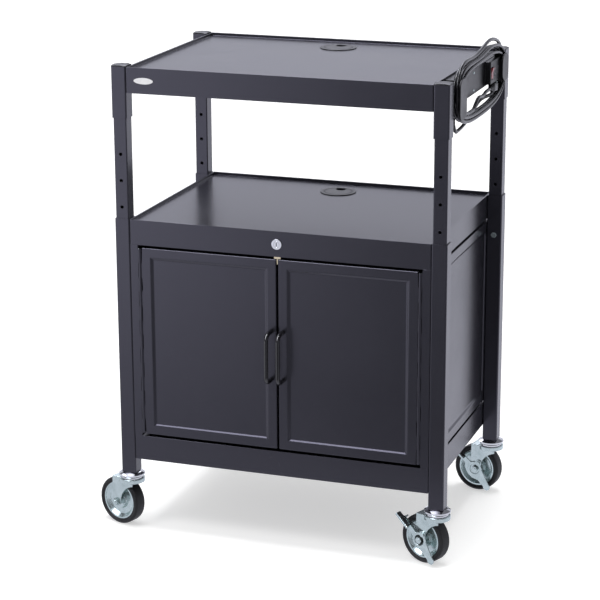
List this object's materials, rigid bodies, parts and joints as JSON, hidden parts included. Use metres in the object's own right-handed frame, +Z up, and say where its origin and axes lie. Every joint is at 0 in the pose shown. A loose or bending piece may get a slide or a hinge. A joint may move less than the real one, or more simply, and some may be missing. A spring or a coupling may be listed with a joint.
{
  "type": "projector cart",
  "caption": "Rolling steel cart with a height-adjustable top shelf, a locking two-door cabinet, swivel casters with brakes and a side power unit carrying its wound cord.",
  "frame": {"origin": "centre of the cart's footprint, casters and handles included, on the floor", "axes": "+Z up, the doors face -Y, +X to the right seen from the front"},
  "size_m": [0.7662, 0.5199, 1.0137],
  "materials": {
    "powder_coat": "satin",
    "zinc": "satin",
    "chrome": "polished",
    "black_plastic": "satin",
    "gloss_black": "gloss",
    "tyre_rubber": "matt",
    "cord_rubber": "satin",
    "brass": "satin",
    "red_plastic": "gloss",
    "white_plate": "gloss"
  },
  "bodies": {
    "base": {"lower_leg_fl": "powder_coat", "lower_leg_fr": "powder_coat", "lower_leg_rl": "powder_coat", "lower_leg_rr": "powder_coat", "middle_shelf": "powder_coat", "bottom_shelf": "powder_coat", "side_panel_left": "powder_coat", "side_panel_right": "powder_coat", "back_panel": "powder_coat", "front_stile_left": "powder_coat", "front_stile_right": "powder_coat", "hinge_pins": "zinc", "height_bolts": "zinc", "lock_housing": "chrome", "door_stop": "brass", "middle_grommet": "black_plastic", "caster_stems": "chrome"},
    "upper": {"top_shelf": "powder_coat", "top_sleeves": "powder_coat", "post_fl": "powder_coat", "post_fr": "powder_coat", "post_rl": "powder_coat", "post_rr": "powder_coat", "post_caps": "black_plastic", "top_grommet": "black_plastic", "badge": "white_plate", "power_housing": "black_plastic", "power_sockets": "black_plastic", "cord_cleats": "black_plastic", "cord_gland": "cord_rubber", "cord_winding": "cord_rubber", "cord_lead": "cord_rubber", "plug": "cord_rubber"},
    "door_left": {"door_left": "powder_coat", "handle_left": "gloss_black"},
    "door_right": {"door_right": "powder_coat", "handle_right": "gloss_black"},
    "lock": {"lock_core": "chrome", "lock_cam": "brass"},
    "middle_lid": {"middle_grommet_lid": "black_plastic"},
    "top_lid": {"top_grommet_lid": "black_plastic"},
    "rocker": {"rocker_switch": "red_plastic"},
    "fork_fl": {"fork_fl": "zinc", "axle_fl": "zinc"},
    "wheel_fl": {"wheel_fl": "zinc", "tyre_fl": "tyre_rubber"},
    "fork_fr": {"fork_fr": "zinc", "axle_fr": "zinc"},
    "wheel_fr": {"wheel_fr": "zinc", "tyre_fr": "tyre_rubber"},
    "brake_fr": {"brake_fr": "zinc"},
    "fork_rl": {"fork_rl": "zinc", "axle_rl": "zinc"},
    "wheel_rl": {"wheel_rl": "zinc", "tyre_rl": "tyre_rubber"},
    "fork_rr": {"fork_rr": "zinc", "axle_rr": "zinc"},
    "wheel_rr": {"wheel_rr": "zinc", "tyre_rr": "tyre_rubber"},
    "brake_rr": {"brake_rr": "zinc"}
  },
  "joints": [
    {"name": "height_adjust", "type": "slide", "parent": "base", "child": "upper", "axis": [0, 0, 1], "range_m": [-0.2, 0.1]},
    {"name": "door_left_hinge", "type": "hinge", "parent": "base", "child": "door_left", "pos_m": [-0.26625, -0.22225, 0.40925], "axis": [0, 0, -1], "range_deg": [0, 110]},
    {"name": "door_right_hinge", "type": "hinge", "parent": "base", "child": "door_right", "pos_m": [0.32025, -0.22225, 0.40925], "axis": [0, 0, 1], "range_deg": [0, 110]},
    {"name": "lock_turn", "type": "hinge", "parent": "base", "child": "lock", "pos_m": [0.027, -0.22225, 0.63825], "axis": [0, 1, 0], "range_deg": [0, 90]},
    {"name": "power_rocker", "type": "hinge", "parent": "upper", "child": "rocker", "pos_m": [0.37225, 0.09625, 0.9425], "axis": [0, -1, 0], "range_deg": [0, 14]},
    {"name": "top_lid_turn", "type": "hinge", "parent": "upper", "child": "top_lid", "pos_m": [0.027, 0.16425, 0.966], "axis": [0, 0, 1], "continuous": true},
    {"name": "middle_lid_turn", "type": "hinge", "parent": "base", "child": "middle_lid", "pos_m": [0.027, 0.16425, 0.658], "axis": [0, 0, 1], "continuous": true},
    {"name": "caster_swivel_fl", "type": "hinge", "parent": "base", "child": "fork_fl", "pos_m": [-0.30312, -0.20638, 0.10575], "axis": [0, 0, 1], "continuous": true},
    {"name": "wheel_roll_fl", "type": "hinge", "parent": "fork_fl", "child": "wheel_fl", "pos_m": [-0.32976, -0.19772, 0.051], "axis": [-0.309, -0.9511, 0], "continuous": true},
    {"name": "caster_swivel_fr", "type": "hinge", "parent": "base", "child": "fork_fr", "pos_m": [0.35713, -0.20638, 0.10575], "axis": [0, 0, 1], "continuous": true},
    {"name": "wheel_roll_fr", "type": "hinge", "parent": "fork_fr", "child": "wheel_fr", "pos_m": [0.33116, -0.19589, 0.051], "axis": [-0.3746, -0.9272, 0], "continuous": true},
    {"name": "brake_press_fr", "type": "hinge", "parent": "fork_fr", "child": "brake_fr", "pos_m": [0.33858, -0.19888, 0.065], "axis": [-0.3746, -0.9272, 0], "range_deg": [0, 11]},
    {"name": "caster_swivel_rl", "type": "hinge", "parent": "base", "child": "fork_rl", "pos_m": [-0.30312, 0.22537, 0.10575], "axis": [0, 0, 1], "continuous": true},
    {"name": "wheel_roll_rl", "type": "hinge", "parent": "fork_rl", "child": "wheel_rl", "pos_m": [-0.33029, 0.23215, 0.051], "axis": [-0.2419, -0.9703, 0], "continuous": true},
    {"name": "caster_swivel_rr", "type": "hinge", "parent": "base", "child": "fork_rr", "pos_m": [0.35713, 0.22537, 0.10575], "axis": [0, 0, 1], "continuous": true},
    {"name": "wheel_roll_rr", "type": "hinge", "parent": "fork_rr", "child": "wheel_rr", "pos_m": [0.32955, 0.23024, 0.051], "axis": [-0.1736, -0.9848, 0], "continuous": true},
    {"name": "brake_press_rr", "type": "hinge", "parent": "fork_rr", "child": "brake_rr", "pos_m": [0.33743, 0.22885, 0.065], "axis": [-0.1736, -0.9848, 0], "range_deg": [0, 11]}
  ]
}
